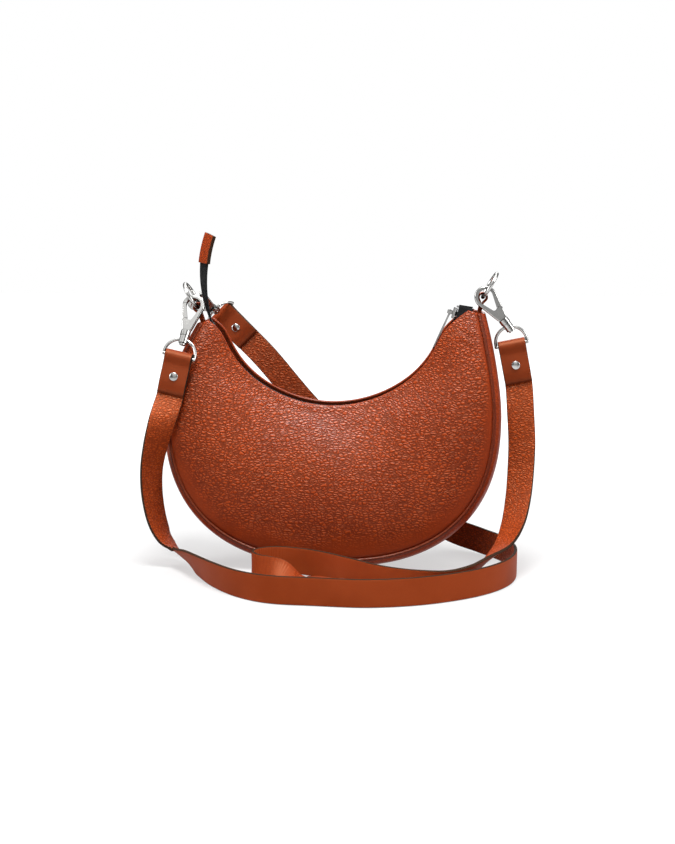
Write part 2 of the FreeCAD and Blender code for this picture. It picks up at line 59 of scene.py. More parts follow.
# mesh helpers
def unitRows(vectors):
    return vectors / np.linalg.norm(vectors, axis=-1, keepdims=True)


def smoothRise(value, start, span):
    share = np.clip((value - start) / span, 0, 1)
    return share * share * (3 - 2 * share)


# 1 at nought, falling away on both sides as a bell curve
def bell(value, width):
    return np.exp(-(value / width) ** 2)


# a surface normal at each grid point, from the cross product of the grid's two slopes
def gridNormals(grid):
    along = np.gradient(grid, axis=0)
    over = np.gradient(grid, axis=1)
    return unitRows(np.cross(along, over))


def signedVolume(points, quads):
    corners = points[quads]
    first = np.einsum("ij,ij->i", corners[:, 0], np.cross(corners[:, 1], corners[:, 2]))
    second = np.einsum("ij,ij->i", corners[:, 0], np.cross(corners[:, 2], corners[:, 3]))
    return (first.sum() + second.sum()) / 6


# rings of points carried along a path: ring i joins ring i + 1 with quads, each ring is closed on itself
def ringQuads(ringCount, ringSize, closedPath):
    ringIndex = np.arange(ringCount if closedPath else ringCount - 1)[:, None]
    nextRing = (ringIndex + 1) % ringCount
    pointIndex = np.arange(ringSize)[None, :]
    nextPoint = (pointIndex + 1) % ringSize
    quads = [ringIndex * ringSize + pointIndex, nextRing * ringSize + pointIndex,
             nextRing * ringSize + nextPoint, ringIndex * ringSize + nextPoint]
    return np.stack(quads, axis=-1).reshape(-1, 4)


# an end cap joins point i of a ring with its mirror point across the ring
def capQuads(start, ringSize, turned):
    half = ringSize // 2
    low = np.arange(half - 1)
    quads = np.stack([low, low + 1, ringSize - 2 - low, ringSize - 1 - low], axis=-1) + start
    return quads[:, ::-1] if turned else quads


def sweptMesh(name, rings, material, values=None, closedPath=False, body="bag", uv=None):
    ringCount, ringSize = rings.shape[:2]
    points = rings.reshape(-1, 3)
    quads = ringQuads(ringCount, ringSize, closedPath)
    if not closedPath:
        last = (ringCount - 1) * ringSize
        quads = np.concatenate([quads, capQuads(0, ringSize, False), capQuads(last, ringSize, True)])
    if signedVolume(points, quads) < 0:
        quads = quads[:, ::-1]
    mesh = bpy.data.meshes.new(name)
    mesh.vertices.add(len(points))
    mesh.vertices.foreach_set("co", points.astype(np.float32).ravel())
    mesh.loops.add(quads.size)
    mesh.loops.foreach_set("vertex_index", quads.astype(np.int32).ravel())
    mesh.polygons.add(len(quads))
    mesh.polygons.foreach_set("loop_start", np.arange(0, quads.size, 4, dtype=np.int32))
    mesh.polygons.foreach_set("use_smooth", np.ones(len(quads), dtype=bool))
    mesh.update(calc_edges=True)
    for key, grid in (values or {}).items():
        layer = mesh.attributes.new(key, "FLOAT", "POINT")
        layer.data.foreach_set("value", grid.astype(np.float32).ravel())
    if uv is not None:
        layer = mesh.uv_layers.new(name="UVMap")
        layer.data.foreach_set("uv", uv.reshape(-1, 2)[quads.ravel()].astype(np.float32).ravel())
    mesh.validate()
    piece = bpy.data.objects.new(name, mesh)
    bpy.context.scene.collection.objects.link(piece)
    piece.data.materials.append(material)
    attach(piece, body)
    return piece


# a sheet: the outer grid, the same grid sunk by its thickness, and round edges between the two
def shellRings(outer, thickness, edgeSteps):
    normal = gridNormals(outer)
    half = thickness / 2
    middle = outer - normal * half
    startEdge = unitRows(outer[:, :1] - outer[:, 1:2])
    finishEdge = unitRows(outer[:, -1:] - outer[:, -2:-1])
    turn = (np.pi * (np.arange(edgeSteps) + 1) / (edgeSteps + 1))[None, :, None]
    rise = half * np.cos(turn)
    reach = half * np.sin(turn)
    finishRound = middle[:, -1:] + normal[:, -1:] * rise + finishEdge * reach
    startRound = middle[:, :1] - normal[:, :1] * rise + startEdge * reach
    inner = outer - normal * thickness
    return np.concatenate([outer, finishRound, inner[:, ::-1], startRound], axis=1)


# values over a shell: its outer grid's own, and one value each for its edges and its inner grid
def shellValues(outerValue, edgeSteps, edgeValue, innerValue):
    edge = np.full((outerValue.shape[0], edgeSteps), edgeValue)
    return np.concatenate([outerValue, edge, outerValue * 0 + innerValue, edge], axis=1)


# a UV map in metres: one length for each ring, one width for each point round it
def uvGrid(length, width):
    return np.stack(np.broadcast_arrays(length[:, None], width[None, :]), axis=-1)


# material helpers
def newMaterial(name):
    material = bpy.data.materials.new(name)
    material.use_nodes = True
    tree = material.node_tree
    return material, tree, tree.nodes["Principled BSDF"]


# a socket is linked to the node's input, and a plain number or colour is set on it
def setInputs(tree, node, inputs):
    for key, value in inputs.items():
        if isinstance(value, bpy.types.NodeSocket):
            tree.links.new(value, node.inputs[key])
        else:
            node.inputs[key].default_value = value


def addNode(tree, kind, settings=None, inputs=None):
    node = tree.nodes.new(kind)
    for key, value in (settings or {}).items():
        setattr(node, key, value)
    setInputs(tree, node, inputs or {})
    return node


def mathNode(tree, operation, first, second=0.0, clamp=False):
    node = addNode(tree, "ShaderNodeMath", {"operation": operation, "use_clamp": clamp},
                   {0: first, 1: second})
    return node.outputs[0]


def mixColor(tree, factor, first, second, blend="MIX"):
    node = addNode(tree, "ShaderNodeMix", {"data_type": "RGBA", "blend_type": blend},
                   {0: factor, 6: first, 7: second})
    return node.outputs[2]


def remap(tree, value, low, high, newLow, newHigh):
    node = addNode(tree, "ShaderNodeMapRange", {"interpolation_type": "SMOOTHSTEP"},
                   {0: value, 1: low, 2: high, 3: newLow, 4: newHigh})
    return node.outputs[0]


def objectPlace(tree):
    return addNode(tree, "ShaderNodeTexCoord").outputs["Object"]


def vectorNode(tree, operation, first, second):
    node = addNode(tree, "ShaderNodeVectorMath", {"operation": operation}, {0: first, 1: second})
    return node.outputs[0]


def noiseNode(tree, place, perMeter, detail):
    return addNode(tree, "ShaderNodeTexNoise", None,
                   {"Vector": place, "Scale": perMeter, "Detail": detail})


def attributeValue(tree, name):
    return addNode(tree, "ShaderNodeAttribute", {"attribute_name": name}).outputs["Fac"]


def bumpNormal(tree, height, distance, strength):
    node = addNode(tree, "ShaderNodeBump", None,
                   {"Strength": strength, "Distance": distance, "Height": height})
    return node.outputs[0]


# leather: raised pebbles between creases with painted shade, from a cell pattern, fine pores, and a slow
# change of colour
leatherLook = {
    "pebblesPerMeter": 480.0, "pebbleSpan": (-0.05, 0.42), "creaseSpan": (0.05, 0.75), "creaseShade": 0.72,
    "stretch": (0.60, 0.9, 1.0),
    "warpPerMeter": 190.0, "warpDetail": 2.0, "warpMiddle": (0.5, 0.5, 0.5), "warp": 0.0028,
    "poresPerMeter": 2600.0, "poreDetail": 3.0, "poreShare": 0.05,
    "cloudPerMeter": 22.0, "cloudDetail": 4.0, "cloudSpan": (0.35, 0.65),
    "light": (0.410, 0.048, 0.0040, 1),
    "base": (0.332, 0.035, 0.0020, 1),
    "dark": (0.080, 0.0065, 0.0010, 1),
    "edge": (0.014, 0.007, 0.0055, 1), "edgeRough": 0.25,
    "bump": 0.00042, "bumpStrength": 0.9,
    "glossTint": (1.0, 0.53, 0.29, 1),
    "coatRough": 0.32, "coatIor": 1.45, "coatRelief": 0.4,
}


def leatherMaterial(name, finish):
    look = leatherLook
    material, tree, shader = newMaterial(name)
    place = objectPlace(tree)
    warpNoise = noiseNode(tree, place, look["warpPerMeter"], look["warpDetail"])
    centered = vectorNode(tree, "SUBTRACT", warpNoise.outputs["Color"], look["warpMiddle"])
    pushed = addNode(tree, "ShaderNodeVectorMath", {"operation": "SCALE"},
                     {0: centered, "Scale": look["warp"]})
    drawn = vectorNode(tree, "MULTIPLY", place, look["stretch"])
    warped = vectorNode(tree, "ADD", drawn, pushed.outputs[0])
    cells = addNode(tree, "ShaderNodeTexVoronoi", {"feature": "DISTANCE_TO_EDGE"},
                    {"Vector": warped, "Scale": look["pebblesPerMeter"]})
    pebble = remap(tree, cells.outputs["Distance"], *look["pebbleSpan"], 0.0, 1.0)
    pores = noiseNode(tree, place, look["poresPerMeter"], look["poreDetail"])
    cloud = noiseNode(tree, place, look["cloudPerMeter"], look["cloudDetail"])
    slow = remap(tree, cloud.outputs["Fac"], *look["cloudSpan"], 0.0, 1.0)
    ground = mixColor(tree, slow, look["base"], look["light"])
    ground = mixColor(tree, 1.0, ground, finish["tint"], "MULTIPLY")
    # where the grain attribute is low the leather is smooth, and takes its own tint
    grain = attributeValue(tree, "grain")
    smooth = mathNode(tree, "SUBTRACT", 1.0, grain, True)
    smoothed = mixColor(tree, 1.0, ground, finish["smoothTint"], "MULTIPLY")
    ground = mixColor(tree, smooth, ground, smoothed)
    depth = mathNode(tree, "MULTIPLY", grain, finish["grain"])
    # painted shade: the creases between pebbles and the shade attribute mix the colour towards the dark
    # tone
    creaseShading = remap(tree, pebble, *look["creaseSpan"], 1.0, 0.0)
    creaseShading = mathNode(tree, "MULTIPLY", creaseShading, mathNode(tree, "MULTIPLY", depth, look["creaseShade"]))
    colour = mixColor(tree, creaseShading, ground, look["dark"])
    colour = mixColor(tree, attributeValue(tree, "shade"), colour, look["dark"])
    raised = mathNode(tree, "MULTIPLY", pebble, depth)
    rough = remap(tree, raised, 0.0, 1.0, finish["roughCrease"], finish["roughTop"])
    if finish["edgePaint"]:
        rim = attributeValue(tree, "rim")
        colour = mixColor(tree, rim, colour, look["edge"])
        rough = mathNode(tree, "ADD", rough, mathNode(tree, "MULTIPLY", rim, look["edgeRough"]), True)
    poreHeight = mathNode(tree, "MULTIPLY", pores.outputs["Fac"], look["poreShare"])
    height = mathNode(tree, "ADD", raised, poreHeight)
    filmBump = look["bump"] * look["coatRelief"]
    setInputs(tree, shader, {
        "Base Color": colour, "Roughness": rough,
        "Specular IOR Level": finish["specular"], "Specular Tint": look["glossTint"],
        "Normal": bumpNormal(tree, height, look["bump"], look["bumpStrength"]),
        "Coat Weight": finish["coat"], "Coat Roughness": look["coatRough"], "Coat IOR": look["coatIor"],
        "Coat Normal": bumpNormal(tree, height, filmBump, look["bumpStrength"])})
    return material


# three finishes: grain depth, roughness of tops and creases, gloss, clear film, tints, painted edges
# the panel's smooth tint is darker: partly the smooth leather's own tone, partly painted shade where its
# margin widens low on the bag
panelFinish = {"grain": 1.0, "roughTop": 0.42, "roughCrease": 0.60, "specular": 0.17, "coat": 0.16,
               "tint": (1, 1, 1, 1), "smoothTint": (0.68, 0.60, 0.54, 1), "edgePaint": False}
strapFinish = {"grain": 0.8, "roughTop": 0.44, "roughCrease": 0.58, "specular": 0.27, "coat": 0.0,
               "tint": (1.09, 1.28, 2.2, 1), "smoothTint": (0.75, 0.77, 0.95, 1), "edgePaint": True}
tabFinish = {"grain": 0.5, "roughTop": 0.42, "roughCrease": 0.56, "specular": 0.22, "coat": 0.0,
             "tint": (0.9, 0.9, 0.9, 1), "smoothTint": (0.9, 0.9, 0.9, 1), "edgePaint": True}
panelLeather = leatherMaterial("pebbled_leather", panelFinish)
strapLeather = leatherMaterial("strap_leather", strapFinish)
tabLeather = leatherMaterial("tab_leather", tabFinish)

# bright nickel: a mirror finish with faint smudges, hairline wear and painted shade in its crevices
nickelLook = {
    "colour": (0.62, 0.615, 0.60, 1), "rimTint": (0.22, 0.22, 0.22, 1),
    "worn": (0.48, 0.475, 0.46, 1), "wornSpan": (0.35, 0.7),
    "smudgePerMeter": 260.0, "smudgeDetail": 3.0, "smudgeSpan": (0.3, 0.75), "smudgeRough": (0.10, 0.26),
    "hairPerMeter": 1400.0, "hairDetail": 2.0, "hairBump": 0.0001, "hairStrength": 0.12,
    "creviceShade": (0.030, 0.028, 0.026, 1), "creviceReach": 0.006, "creviceSamples": 8,
    "creviceSpan": (0.25, 0.95), "creviceShare": 0.95,
}


def nickelMaterial():
    look = nickelLook
    material, tree, shader = newMaterial("bright_nickel")
    place = objectPlace(tree)
    smudge = noiseNode(tree, place, look["smudgePerMeter"], look["smudgeDetail"]).outputs["Fac"]
    hair = noiseNode(tree, place, look["hairPerMeter"], look["hairDetail"]).outputs["Fac"]
    wear = remap(tree, smudge, *look["wornSpan"], 0.0, 1.0)
    tone = mixColor(tree, wear, look["colour"], look["worn"])
    # painted shade: ambient occlusion finds the crevices and mixes the colour towards the crevice shade
    # tone
    shadow = addNode(tree, "ShaderNodeAmbientOcclusion", {"samples": look["creviceSamples"]},
                     {"Distance": look["creviceReach"]})
    creviceShadeMask = remap(tree, shadow.outputs["AO"], *look["creviceSpan"], look["creviceShare"], 0.0)
    setInputs(tree, shader, {
        "Base Color": mixColor(tree, creviceShadeMask, tone, look["creviceShade"]),
        "Roughness": remap(tree, smudge, *look["smudgeSpan"], *look["smudgeRough"]),
        "Metallic": 1.0, "Specular Tint": look["rimTint"],
        "Normal": bumpNormal(tree, hair, look["hairBump"], look["hairStrength"])})
    return material


brightNickel = nickelMaterial()

# woven tape and lining: a checked weave, the product of two sine waves on the piece's own UV map in metres
weaveLook = {"fuzzPerMeter": 900.0, "fuzzDetail": 3.0, "rough": 0.85, "sheen": 0.04, "specular": 0.15,
             "bump": 0.0002, "bumpStrength": 0.6}
tapeYarn = {"thread": 0.0011, "dark": (0.0025, 0.0025, 0.003, 1), "light": (0.016, 0.016, 0.018, 1)}
liningYarn = {"thread": 0.0009, "dark": (0.018, 0.013, 0.011, 1), "light": (0.060, 0.045, 0.038, 1)}


def wovenMaterial(name, yarn):
    look = weaveLook
    material, tree, shader = newMaterial(name)
    uvMap = addNode(tree, "ShaderNodeTexCoord").outputs["UV"]
    apart = addNode(tree, "ShaderNodeSeparateXYZ", None, {0: uvMap})
    perMeter = math.tau / yarn["thread"]
    across = mathNode(tree, "SINE", mathNode(tree, "MULTIPLY", apart.outputs[0], perMeter))
    along = mathNode(tree, "SINE", mathNode(tree, "MULTIPLY", apart.outputs[1], perMeter))
    weave = remap(tree, mathNode(tree, "MULTIPLY", across, along), -1.0, 1.0, 0.0, 1.0)
    fuzz = noiseNode(tree, objectPlace(tree), look["fuzzPerMeter"], look["fuzzDetail"])
    lit = mathNode(tree, "MULTIPLY", weave, fuzz.outputs["Fac"])
    setInputs(tree, shader, {
        "Base Color": mixColor(tree, lit, yarn["dark"], yarn["light"]), "Roughness": look["rough"],
        "Sheen Weight": look["sheen"], "Specular IOR Level": look["specular"],
        "Normal": bumpNormal(tree, weave, look["bump"], look["bumpStrength"])})
    return material


blackTape = wovenMaterial("woven_black_tape", tapeYarn)
darkLining = wovenMaterial("woven_dark_lining", liningYarn)

# black nylon: nearly even, with small spots that differ in tone and roughness
coilLook = {"spotsPerMeter": 700.0, "spotDetail": 2.0, "spotSpan": (0.3, 0.7), "rough": (0.35, 0.5),
            "dark": (0.004, 0.004, 0.0045, 1), "light": (0.016, 0.016, 0.017, 1)}


def coilMaterial():
    look = coilLook
    material, tree, shader = newMaterial("black_nylon_coil")
    spot = noiseNode(tree, objectPlace(tree), look["spotsPerMeter"], look["spotDetail"]).outputs["Fac"]
    setInputs(tree, shader, {
        "Base Color": mixColor(tree, spot, look["dark"], look["light"]),
        "Roughness": remap(tree, spot, *look["spotSpan"], *look["rough"])})
    return material


blackCoil = coilMaterial()
print("materials made")

# the bag's own shape, in metres and degrees, seen from the front
bag = {
    "halfWidth": 0.140, "waist": 0.1255, "power": 2.4, "footSink": 0.001,
    "hornHeight": 0.212, "drawLeft": 0.035, "drawRight": 0.015, "hornPower": 1.6,
    "notchRadius": 0.103, "notchHeight": 0.238, "pinchAngle": 35.0, "pinchSpan": 25.0, "pinch": 0.0028,
    "shoulderAngle": 63.0, "shoulderSpan": 15.0, "flareLeft": 0.017, "flareRight": 0.0135,
    "hornLeft": 72.0, "hornRight": 78.0,
    "baseDepth": 0.072, "tipDepth": 0.026, "depthPower": 2.2, "mouthWidth": 0.024, "bulge": 0.009,
    "seamInset": 0.0110, "tipInset": 0.0052, "panelThickness": 0.0020, "gussetThickness": 0.0026,
    "stations": 300, "panelRows": 96, "gussetRows": 72, "edgeSteps": 5, "halvings": 40,
}


# half width of the outline: a superellipse below the waist, a power curve drawing in above it
def outlineHalfWidth(height, angle):
    drop = np.clip((bag["waist"] - height) / (bag["waist"] + bag["footSink"]), 0, 1)
    low = bag["halfWidth"] * (1 - drop ** bag["power"]) ** (1 / bag["power"])
    rise = np.clip((height - bag["waist"]) / (bag["hornHeight"] - bag["waist"]), 0, None)
    draw = np.where(angle < 0, bag["drawLeft"], bag["drawRight"])
    return low - draw * rise ** bag["hornPower"]


# distance from the notch's centre to the outline along each angle, by halving an interval
def outerRadius(angle):
    low = np.full_like(angle, bag["notchRadius"])
    high = np.full_like(angle, bag["notchHeight"] + bag["halfWidth"])
    turn = np.radians(angle)
    for step in range(bag["halvings"]):
        middle = (low + high) / 2
        height = bag["notchHeight"] - middle * np.cos(turn)
        inside = np.abs(middle * np.sin(turn)) < outlineHalfWidth(height, angle)
        inside &= height > -bag["footSink"]
        low = np.where(inside, middle, low)
        high = np.where(inside, high, middle)
    return low


def innerRadius(angle):
    pinched = np.clip((np.abs(angle) - bag["pinchAngle"]) / bag["pinchSpan"], 0, 1)
    past = np.clip((np.abs(angle) - bag["shoulderAngle"]) / bag["shoulderSpan"], 0, None)
    flare = np.where(angle < 0, bag["flareLeft"], bag["flareRight"])
    return bag["notchRadius"] - bag["pinch"] * pinched ** 2 + flare * past ** 2


def hornAngle(share):
    return share * np.where(share < 0, bag["hornLeft"], bag["hornRight"])


def halfDepth(share):
    grow = 1 - np.abs(share) ** bag["depthPower"]
    return (bag["tipDepth"] + (bag["baseDepth"] - bag["tipDepth"]) * grow) / 2


def seamInset(share):
    grow = 1 - np.abs(share) ** bag["depthPower"]
    return bag["tipInset"] + (bag["seamInset"] - bag["tipInset"]) * grow


# a point at an angle from straight down, a distance from the notch's centre, and a depth
def polarGrid(angle, radius, depth):
    turn = np.radians(angle) + radius * 0
    return np.stack([radius * np.sin(turn), depth + radius * 0,
                     bag["notchHeight"] - radius * np.cos(turn)], axis=-1)


# soft leather: broad swells, short creases across the horn tips, a rolled seam and a lip at the mouth;
# the leather is smooth in a wavy margin along the seam, with painted shade in the seam, at the lip and low
# on the bag
panelShape = {
    "rowPower": 1.15, "calm": (0.004, 0.02),
    "swell": 0.0011, "swellAlong": 9.0, "swellLean": 2.1, "swellUp": 2.3, "swellDrift": 3.1,
    "tip": 0.00085, "tipShare": 0.80, "tipSpan": 0.20, "tipWave": 0.0085, "tipRadius": 0.115,
    "tipLean": 5.0, "tipBend": 1.7, "tipBends": 7.0,
    "roll": 0.0026, "rollWidth": 0.0020, "lip": 0.0007, "lipWidth": 0.0045,
    "seamShade": 0.95, "seamShadeWidth": 0.0015, "lipShade": 0.1, "lipShadeWidth": 0.0008, "lowShade": 0.36,
    "margin": 0.0035, "marginLow": 0.0165, "marginWave": 0.002, "marginWaves": 23.0,
    "marginNick": 0.0015, "marginNicks": 61.0, "nickShift": 1.0, "marginStart": 0.25, "marginGrain": 0.15,
    "edgeShade": 0.15, "innerShade": 0.7, "edgeGrain": 0.1, "innerGrain": 0.3,
}


# panel: across share s and height share t, radius runs from the seam to the mouth and depth follows a
# parabola, less a roll into the seam, plus a lip at the mouth, swells and creases
def panelGrid(side):
    p = panelShape
    share = np.linspace(-1, 1, bag["stations"])[:, None]
    up = np.linspace(0, 1, bag["panelRows"])[None, :] ** p["rowPower"]
    angle = hornAngle(share)
    seam = outerRadius(angle) - seamInset(share)
    top = np.minimum(innerRadius(angle), seam - bag["panelThickness"])
    radius = seam + (top - seam) * up
    full = bag["notchHeight"] - bag["notchRadius"]
    puff = bag["bulge"] * (seam - top) / full
    depth = halfDepth(share) * (1 - up) + bag["mouthWidth"] / 2 * up + puff * 4 * up * (1 - up)
    fromSeam = seam - radius
    fromTop = radius - top
    soft = smoothRise(fromSeam, *p["calm"]) * smoothRise(fromTop, *p["calm"])
    swellWave = np.sin(p["swellAlong"] * share + p["swellLean"] * up + side)
    crossWave = np.cos(p["swellUp"] * up + p["swellDrift"] * share)
    depth = depth + p["swell"] * soft * swellWave * crossWave
    tipNear = smoothRise(np.abs(share), p["tipShare"], p["tipSpan"]) * soft
    length = np.radians(np.abs(angle)) * p["tipRadius"]
    bend = p["tipBend"] * np.sin(p["tipBends"] * up + side)
    ripple = np.sin(math.tau * length / p["tipWave"] + p["tipLean"] * up + bend)
    depth = depth + p["tip"] * tipNear * ripple
    depth = depth - p["roll"] * bell(fromSeam, p["rollWidth"])
    depth = depth + p["lip"] * bell(fromTop, p["lipWidth"])
    low = np.cos(np.radians(angle)) ** 2
    # painted shade: darker in the seam's groove, at the mouth's lip and low on the bag
    shade = bell(fromSeam, p["seamShadeWidth"]) * p["seamShade"]
    shade = shade + bell(fromTop, p["lipShadeWidth"]) * p["lipShade"]
    shade = shade + p["lowShade"] * low * (1 - up) ** 2
    margin = p["margin"] + p["marginLow"] * low + p["marginWave"] * np.sin(p["marginWaves"] * share)
    margin = margin + p["marginNick"] * np.sin(p["marginNicks"] * share + p["nickShift"])
    grown = smoothRise(fromSeam, p["marginStart"] * margin, margin)
    grain = p["marginGrain"] + (1 - p["marginGrain"]) * grown
    return polarGrid(angle, radius, side * depth), np.clip(shade, 0, 1), grain


def makePanel(name, node, side):
    p = panelShape
    grid, shade, grain = panelGrid(side)
    if gridNormals(grid)[bag["stations"] // 2, bag["panelRows"] // 2, 1] * side < 0:
        grid, shade, grain = grid[::-1], shade[::-1], grain[::-1]
    steps = bag["edgeSteps"]
    rings = shellRings(grid, bag["panelThickness"], steps)
    # the rounded edges and the inner face take a fixed painted shade
    values = {"shade": shellValues(shade, steps, p["edgeShade"], p["innerShade"]),
              "grain": shellValues(grain, steps, p["edgeGrain"], p["innerGrain"])}
    piece = sweptMesh(name, rings, panelLeather, values)
    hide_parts(node)


makePanel("frontPanel", "front_panel", -1)
makePanel("backPanel", "back_panel", 1)


# gusset: across share s and width share u, the crown falls away to both seams and rolls into them,
# and the foot is flat on the floor; painted shade darkens the seams, the rounded edges and the inner face
gussetShape = {"fall": 2.6, "roll": 0.0020, "rollWidth": 0.0020, "seamShade": 0.9, "shadeWidth": 0.0008,
               "edgeShade": 0.8, "innerShade": 0.7, "grain": 0.55}


def makeGusset():
    g = gussetShape
    share = np.linspace(-1, 1, bag["stations"])[:, None]
    over = np.sin(np.linspace(-np.pi / 2, np.pi / 2, bag["gussetRows"]))[None, :]
    angle = hornAngle(share)
    crown = outerRadius(angle)
    inset = seamInset(share)
    depth = halfDepth(share) * over
    fromSeam = halfDepth(share) * (1 - np.abs(over))
    radius = crown - (inset - bag["gussetThickness"]) * np.abs(over) ** g["fall"]
    radius = radius - g["roll"] * bell(fromSeam, g["rollWidth"])
    grid = polarGrid(angle, radius, depth)
    grid[..., 2] = np.maximum(grid[..., 2], 0.0)
    if gridNormals(grid)[bag["stations"] // 2, bag["gussetRows"] // 2, 2] > 0:
        grid = grid[::-1]
        fromSeam = fromSeam[::-1]
    steps = bag["edgeSteps"]
    rings = shellRings(grid, bag["gussetThickness"], steps)
    rings[..., 2] = np.maximum(rings[..., 2], 0.0)
    # painted shade in the seams' grooves, and a fixed painted shade on the rounded edges and inner face
    shade = bell(fromSeam, g["shadeWidth"]) * g["seamShade"]
    values = {"shade": shellValues(shade, steps, g["edgeShade"], g["innerShade"]),
              "grain": np.full(rings.shape[:2], g["grain"])}
    piece = sweptMesh("gussetBand", rings, panelLeather, values)
    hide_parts("gusset")


makeGusset()
print("bag sewn")

# lining: the panels and the gusset again, sunk inside, short of the horn tips
liningShape = {
    "sink": 0.0024, "thickness": 0.0008, "edgeSteps": 2, "reach": 0.93, "drop": 0.010,
    "stations": 120, "rows": 24, "weaveLength": 0.45, "weaveWidth": 0.24, "least": 0.002,
    "seamGap": 0.001, "mouthGap": 0.0008, "puff": 3.4, "crownGap": 0.0004, "sideGap": 0.0045,
}


def makeLining(name, node, grid):
    rings = shellRings(grid, liningShape["thickness"], liningShape["edgeSteps"])
    length = np.linspace(0, liningShape["weaveLength"], rings.shape[0])
    width = np.linspace(0, liningShape["weaveWidth"], rings.shape[1])
    piece = sweptMesh(name, rings, darkLining, uv=uvGrid(length, width))
    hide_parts(node)


def liningShares():
    return np.linspace(-liningShape["reach"], liningShape["reach"], liningShape["stations"])[:, None]


def liningPanel(side):
    n = liningShape
    share = liningShares()
    up = np.linspace(0, 1, n["rows"])[None, :]
    angle = hornAngle(share)
    seam = outerRadius(angle) - seamInset(share) - n["sink"]
    top = np.minimum(innerRadius(angle) + n["drop"], seam - n["least"])
    puff = bag["bulge"] * (seam - top) / (bag["notchHeight"] - bag["notchRadius"])
    seamDepth = halfDepth(share) - n["sink"] - n["seamGap"]
    mouthDepth = bag["mouthWidth"] / 2 - n["sink"] - n["mouthGap"]
    depth = seamDepth * (1 - up) + mouthDepth * up
    depth = depth + puff * n["puff"] * up * (1 - up)
    return polarGrid(angle, seam + (top - seam) * up, side * depth)


def liningGusset():
    share = liningShares()
    over = np.linspace(-1, 1, liningShape["rows"])[None, :]
    sink = bag["gussetThickness"] + liningShape["crownGap"]
    angle = hornAngle(share)
    fall = (seamInset(share) - bag["gussetThickness"]) * np.abs(over) ** gussetShape["fall"]
    radius = outerRadius(angle) - sink - fall
    grid = polarGrid(angle, radius, (halfDepth(share) - liningShape["sideGap"]) * over)
    grid[..., 2] = np.maximum(grid[..., 2], sink)
    return grid


makeLining("frontLining", "lining_front", liningPanel(-1))
makeLining("backLining", "lining_back", liningPanel(1))
makeLining("gussetLining", "lining_gusset", liningGusset())

# zip: tape bands turned about the notch's centre, sloping down to tuck under the mouth's edge
zipShape = {
    "radius": 0.106, "left": -70.0, "right": 79.0, "tapeInner": 0.0010, "tapeOuter": 0.0097, "tape": 0.0008,
    "stations": 160, "rows": 10, "edgeSteps": 2, "weaveWidth": 0.02, "slopeStart": 0.0028, "tuck": 0.0018,
    "coilEnd": 77.4, "coilInner": 0.0009, "coilOuter": 0.0026, "coilTop": 0.1042, "coilFoot": 0.1057,
    "pitch": 0.0015, "thread": 0.00036, "stepsPerTurn": 10, "threadSides": 6, "slant": 0.01,
}


def makeTape(name, node, side):
    z = zipShape
    angle = np.linspace(z["left"], z["right"], z["stations"])[:, None]
    depth = np.linspace(z["tapeInner"], z["tapeOuter"], z["rows"])[None, :]
    slope = smoothRise(depth, z["slopeStart"], z["tapeOuter"] - z["slopeStart"])
    radius = z["radius"] + np.clip(innerRadius(angle) + z["tuck"] - z["radius"], 0, None) * slope
    grid = polarGrid(angle, radius, depth * side)
    if gridNormals(grid)[z["stations"] // 2, z["rows"] // 2, 2] < 0:
        grid = grid[::-1]
    rings = shellRings(grid, z["tape"], z["edgeSteps"])
    length = np.radians(angle[:, 0]) * z["radius"]
    width = np.linspace(0, z["weaveWidth"], rings.shape[1])
    piece = sweptMesh(name, rings, blackTape, uv=uvGrid(length, width))
    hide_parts(node)


# coil: a thread wound as an upright oval round a line beside the middle, carried along the zip's arc
def makeCoil(name, node, side):
    z = zipShape
    arc = math.radians(z["coilEnd"] - z["left"]) * z["radius"]
    turns = arc / z["pitch"]
    steps = int(turns * z["stepsPerTurn"])
    wind = np.linspace(0, turns * math.tau, steps)
    share = np.linspace(0, 1, steps)
    angle = np.radians(z["left"] + (z["coilEnd"] - z["left"]) * share)
    halfHigh = (z["coilFoot"] - z["coilTop"]) / 2 - z["thread"]
    halfWide = (z["coilOuter"] - z["coilInner"]) / 2 - z["thread"]
    radius = (z["coilFoot"] + z["coilTop"]) / 2 + halfHigh * np.cos(wind)
    depth = side * ((z["coilOuter"] + z["coilInner"]) / 2 + halfWide * np.sin(wind))
    line = np.stack([radius * np.sin(angle), depth, bag["notchHeight"] - radius * np.cos(angle)], axis=-1)
    way = unitRows(np.gradient(line, axis=0))
    first = unitRows(np.cross(way, backWay + z["slant"]))
    second = np.cross(way, first)
    turn = np.linspace(0, math.tau, z["threadSides"], endpoint=False)[None, :, None]
    rings = line[:, None] + z["thread"] * (first[:, None] * np.cos(turn) + second[:, None] * np.sin(turn))
    piece = sweptMesh(name, rings, blackCoil)
    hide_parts(node)


makeTape("frontTape", "zip_tape_front", -1)
makeTape("backTape", "zip_tape_back", 1)
makeCoil("frontCoil", "zip_coil_front", -1)
makeCoil("backCoil", "zip_coil_back", 1)

# zip tail: tape that carries on along the zip's circle, turning about its length, then a leather cap
tailShape = {
    "start": 70.2, "end": 97.0, "width": 0.012, "thickness": 0.0016, "twist": 40.0, "twistPower": 0.5,
    "stations": 40, "capLength": 0.024, "capWidth": 0.014, "capThickness": 0.004, "capStations": 30,
    "capPower": 0.3, "rimStart": 0.93, "rimSpan": 0.05, "capGrain": 0.5,
}


